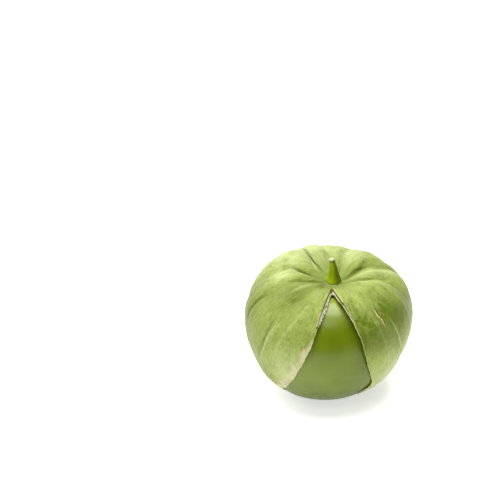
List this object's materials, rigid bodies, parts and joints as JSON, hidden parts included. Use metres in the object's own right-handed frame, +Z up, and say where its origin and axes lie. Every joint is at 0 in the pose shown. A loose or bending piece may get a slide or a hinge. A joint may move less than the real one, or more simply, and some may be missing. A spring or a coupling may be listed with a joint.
{
  "type": "tomatillo",
  "caption": "Fresh tomatillo: a round glossy green fruit inside its papery husk, which has split open down the front, with a stub of stem on top.",
  "frame": {"origin": "on the flat spot the fruit rests on, straight under the fruit's centre", "axes": "+Z up, -Y towards the split in the husk, +X to the right of a viewer who faces the split"},
  "size_m": [0.0493, 0.049, 0.0445],
  "materials": {
    "fruit_skin": "smooth, waxy and glossy",
    "husk_paper": "matt, thin and papery, with raised ribs and veins",
    "stem_green": "matt, with faint lengthwise ridges and a dry cut end"
  },
  "bodies": {
    "root": {"fruit": "fruit_skin", "husk": "husk_paper", "stem": "stem_green"}
  },
  "joints": []
}
